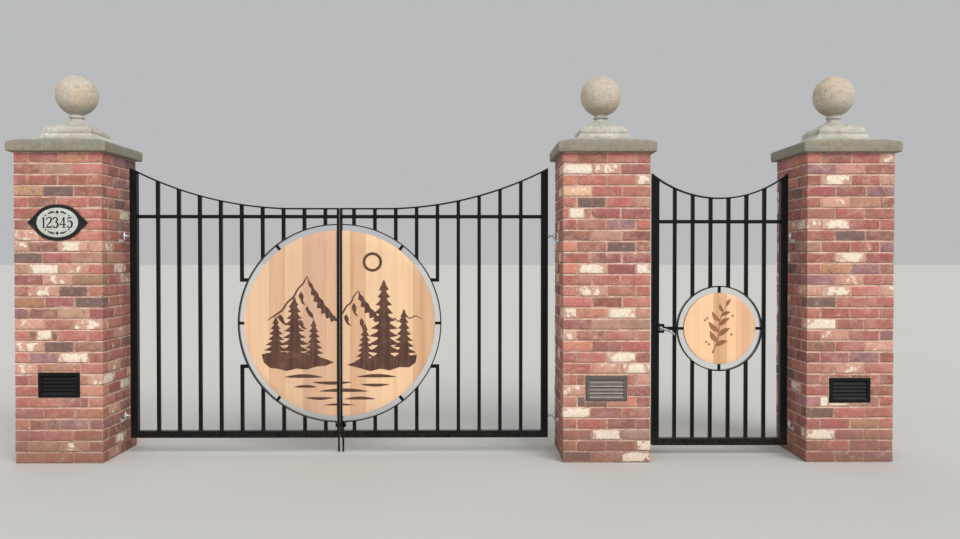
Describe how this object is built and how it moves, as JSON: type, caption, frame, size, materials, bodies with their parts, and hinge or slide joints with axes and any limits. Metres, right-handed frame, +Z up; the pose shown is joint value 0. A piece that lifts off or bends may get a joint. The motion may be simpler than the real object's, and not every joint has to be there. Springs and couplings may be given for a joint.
{
  "type": "wrought iron driveway gate with brick piers and a side gate",
  "caption": "Black iron driveway leaves with a dished top rail and a round wooden medallion, hung with a matching side leaf between brick piers with stone ball finials.",
  "frame": {"origin": "centre of the middle pier's base, at ground level", "axes": "+X along the gates towards the side leaf, +Y to the inner side of the property, +Z up"},
  "size_m": [6.114, 0.678, 2.716],
  "materials": {
    "brick": "salvaged mixed red brick in light tan mortar",
    "cast_stone": "weathered cast stone",
    "light_black": "satin black",
    "light_grey": "dull grey",
    "plaque": "black cast plate with an off-white oval",
    "zinc_steel": "zinc plated",
    "wood": "clear finished edge-glued boards with dark stained inlay",
    "black_iron": "satin black paint"
  },
  "bodies": {
    "root": {"left_pier": "brick", "centre_pier": "brick", "right_pier": "brick", "left_cap": "cast_stone", "centre_cap": "cast_stone", "right_cap": "cast_stone", "left_ball_finial": "cast_stone", "centre_ball_finial": "cast_stone", "right_ball_finial": "cast_stone", "left_brick_light": "light_black", "centre_brick_light": "light_grey", "right_brick_light": "light_black", "number_plaque": "plaque", "left_pier_hinge_bolts": "zinc_steel", "centre_pier_hinge_bolts": "zinc_steel", "right_pier_hinge_bolts": "zinc_steel"},
    "left_leaf": {"left_stiles": "black_iron", "left_rails": "black_iron", "left_top_rail": "black_iron", "left_bars": "black_iron", "left_ring": "black_iron", "left_ring_spokes": "black_iron", "left_half_disc": "wood", "left_hinge_eyes": "zinc_steel", "left_rod_guides": "black_iron"},
    "left_drop_rod": {"left_drop_rod": "black_iron"},
    "right_leaf": {"right_stiles": "black_iron", "right_rails": "black_iron", "right_top_rail": "black_iron", "right_bars": "black_iron", "right_ring": "black_iron", "right_ring_spokes": "black_iron", "right_half_disc": "wood", "right_hinge_eyes": "zinc_steel", "right_rod_guides": "black_iron"},
    "right_drop_rod": {"right_drop_rod": "black_iron"},
    "side_leaf": {"side_stiles": "black_iron", "side_rails": "black_iron", "side_top_rail": "black_iron", "side_bars": "black_iron", "side_ring": "black_iron", "side_ring_spokes": "black_iron", "side_disc": "wood", "side_hinge_eyes": "zinc_steel", "side_lock_case": "black_iron"},
    "side_latch_lever": {"side_latch_lever": "zinc_steel"}
  },
  "joints": [
    {"name": "left_leaf_hinge", "type": "hinge", "parent": "root", "child": "left_leaf", "pos_m": [-3.424, 0, 0.275], "axis": [0, 0, 1], "range_deg": [0, 90]},
    {"name": "left_drop_rod_slide", "type": "slide", "parent": "left_leaf", "child": "left_drop_rod", "axis": [0, 0, 1], "range_m": [0, 0.13]},
    {"name": "right_leaf_hinge", "type": "hinge", "parent": "root", "child": "right_leaf", "pos_m": [-0.332, 0, 0.275], "axis": [0, 0, -1], "range_deg": [0, 90]},
    {"name": "right_drop_rod_slide", "type": "slide", "parent": "right_leaf", "child": "right_drop_rod", "axis": [0, 0, 1], "range_m": [0, 0.13]},
    {"name": "side_leaf_hinge", "type": "hinge", "parent": "root", "child": "side_leaf", "pos_m": [1.348, -0.06, 0.222], "axis": [0, 0, -1], "range_deg": [0, 90]},
    {"name": "side_latch_turn", "type": "hinge", "parent": "side_leaf", "child": "side_latch_lever", "pos_m": [0.418, -0.1, 0.906], "axis": [0, 1, 0], "range_deg": [0, 40], "stiffness_Nm_per_rad": 1.5, "springref_deg": -28.65}
  ]
}
